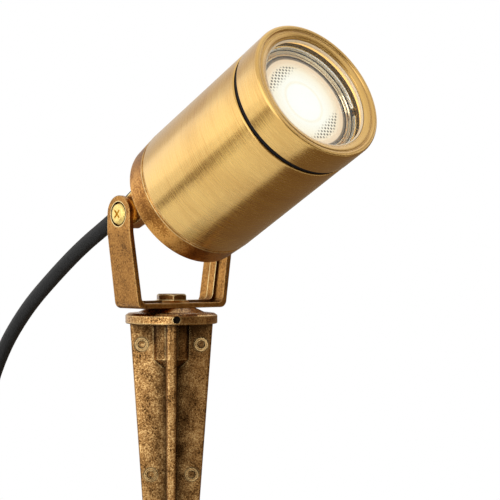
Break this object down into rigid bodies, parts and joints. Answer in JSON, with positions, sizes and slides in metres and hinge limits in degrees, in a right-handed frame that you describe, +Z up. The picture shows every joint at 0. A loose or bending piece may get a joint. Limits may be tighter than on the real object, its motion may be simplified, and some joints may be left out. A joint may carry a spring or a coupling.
{
  "type": "garden spike spotlight",
  "caption": "Brass garden spotlight on a ground spike: a turned cylindrical head that tilts in a U-shaped yoke, with a round glass front, a twist-lock reflector lamp and a flying lead.",
  "frame": {"origin": "centre of the underside of the spike's flange, at ground level on the spike's axis", "axes": "+Z up along the spike's axis, the head faces -Y, the tilt axis runs along X"},
  "size_m": [0.1113, 0.3041, 0.3549],
  "materials": {
    "brass_satin": "turned, satin brushed",
    "brass_cast": "sand cast, antiqued",
    "brass_fixing": "turned, bright",
    "steel": "stainless",
    "spring_steel": "polished stainless",
    "rubber_black": "matt",
    "silicone_clear": "translucent silicone",
    "glass_clear": "toughened, clear",
    "ceramic": "glazed ceramic",
    "nylon_white": "moulded",
    "nylon_black": "moulded",
    "wire_sleeve": "glass-fibre sleeve",
    "wire_brown": "extruded",
    "wire_earth": "extruded, green and yellow",
    "lamp_metal": "cast, lacquered",
    "lamp_chrome": "polished",
    "lamp_optic": "moulded optic, frosted rim",
    "board_white": "solder mask",
    "lamp_plastic": "moulded",
    "nickel": "nickel plated"
  },
  "bodies": {
    "spike": {"spike": "brass_cast", "grub_screw": "steel", "hex_bolt": "brass_fixing"},
    "yoke": {"yoke": "brass_cast", "cord_tube": "rubber_black", "cord_coil": "rubber_black", "coil_ties": "nylon_black", "cord_cores": "wire_brown"},
    "head": {"rear_cap": "brass_cast", "body_tube": "brass_satin", "cap_oring": "rubber_black", "pivot_screws": "brass_fixing", "pivot_washers": "brass_fixing", "gland_body": "brass_fixing", "gland_washer": "rubber_black", "gland_nut": "brass_fixing", "gland_seal": "rubber_black", "gland_sleeve": "rubber_black", "lampholder": "ceramic", "contact_clips": "nickel", "holder_bracket": "steel", "holder_screws": "steel", "bracket_screws": "steel", "terminal_block": "nylon_white", "terminal_screws": "steel", "holder_leads": "wire_sleeve", "cable_entry": "rubber_black", "inner_cores": "wire_brown", "earth_lead": "wire_earth", "earth_screw": "brass_fixing"},
    "seal": {"bezel_seal": "rubber_black"},
    "bezel": {"bezel_ring": "brass_satin", "glass_gasket": "silicone_clear", "glass_disc": "glass_clear", "glass_oring": "rubber_black", "snap_ring": "spring_steel"},
    "lamp": {"lamp_housing": "lamp_metal", "lamp_front_ring": "lamp_chrome", "lamp_lens": "lamp_optic", "light_board": "board_white", "lamp_base": "lamp_plastic", "lamp_pins": "nickel"}
  },
  "joints": [
    {"name": "yoke_pan", "type": "hinge", "parent": "spike", "child": "yoke", "pos_m": [0, 0, 0.0071], "axis": [0, 0, 1], "range_deg": [-180, 180]},
    {"name": "head_tilt", "type": "hinge", "parent": "yoke", "child": "head", "pos_m": [0, 0, 0.0492], "axis": [-1, 0, 0], "range_deg": [-37.3, 62.7], "deforming": ["cord_tube"]},
    {"name": "bezel_lift", "type": "slide", "parent": "head", "child": "seal", "axis": [0, -0.8886, 0.4586], "range_m": [0, 0.006]},
    {"name": "bezel_turn", "type": "hinge", "parent": "seal", "child": "bezel", "pos_m": [0, 0, 0.0492], "axis": [0, -0.8886, 0.4586], "range_deg": [0, 1440]},
    {"name": "lamp_twist", "type": "hinge", "parent": "head", "child": "lamp", "pos_m": [0, 0, 0.0492], "axis": [0, 0.8886, -0.4586], "range_deg": [0, 25]}
  ],
  "couplings": [
    {"joint": "bezel_lift", "follows": "bezel_turn", "m_per_rad": 0.00023873}
  ]
}
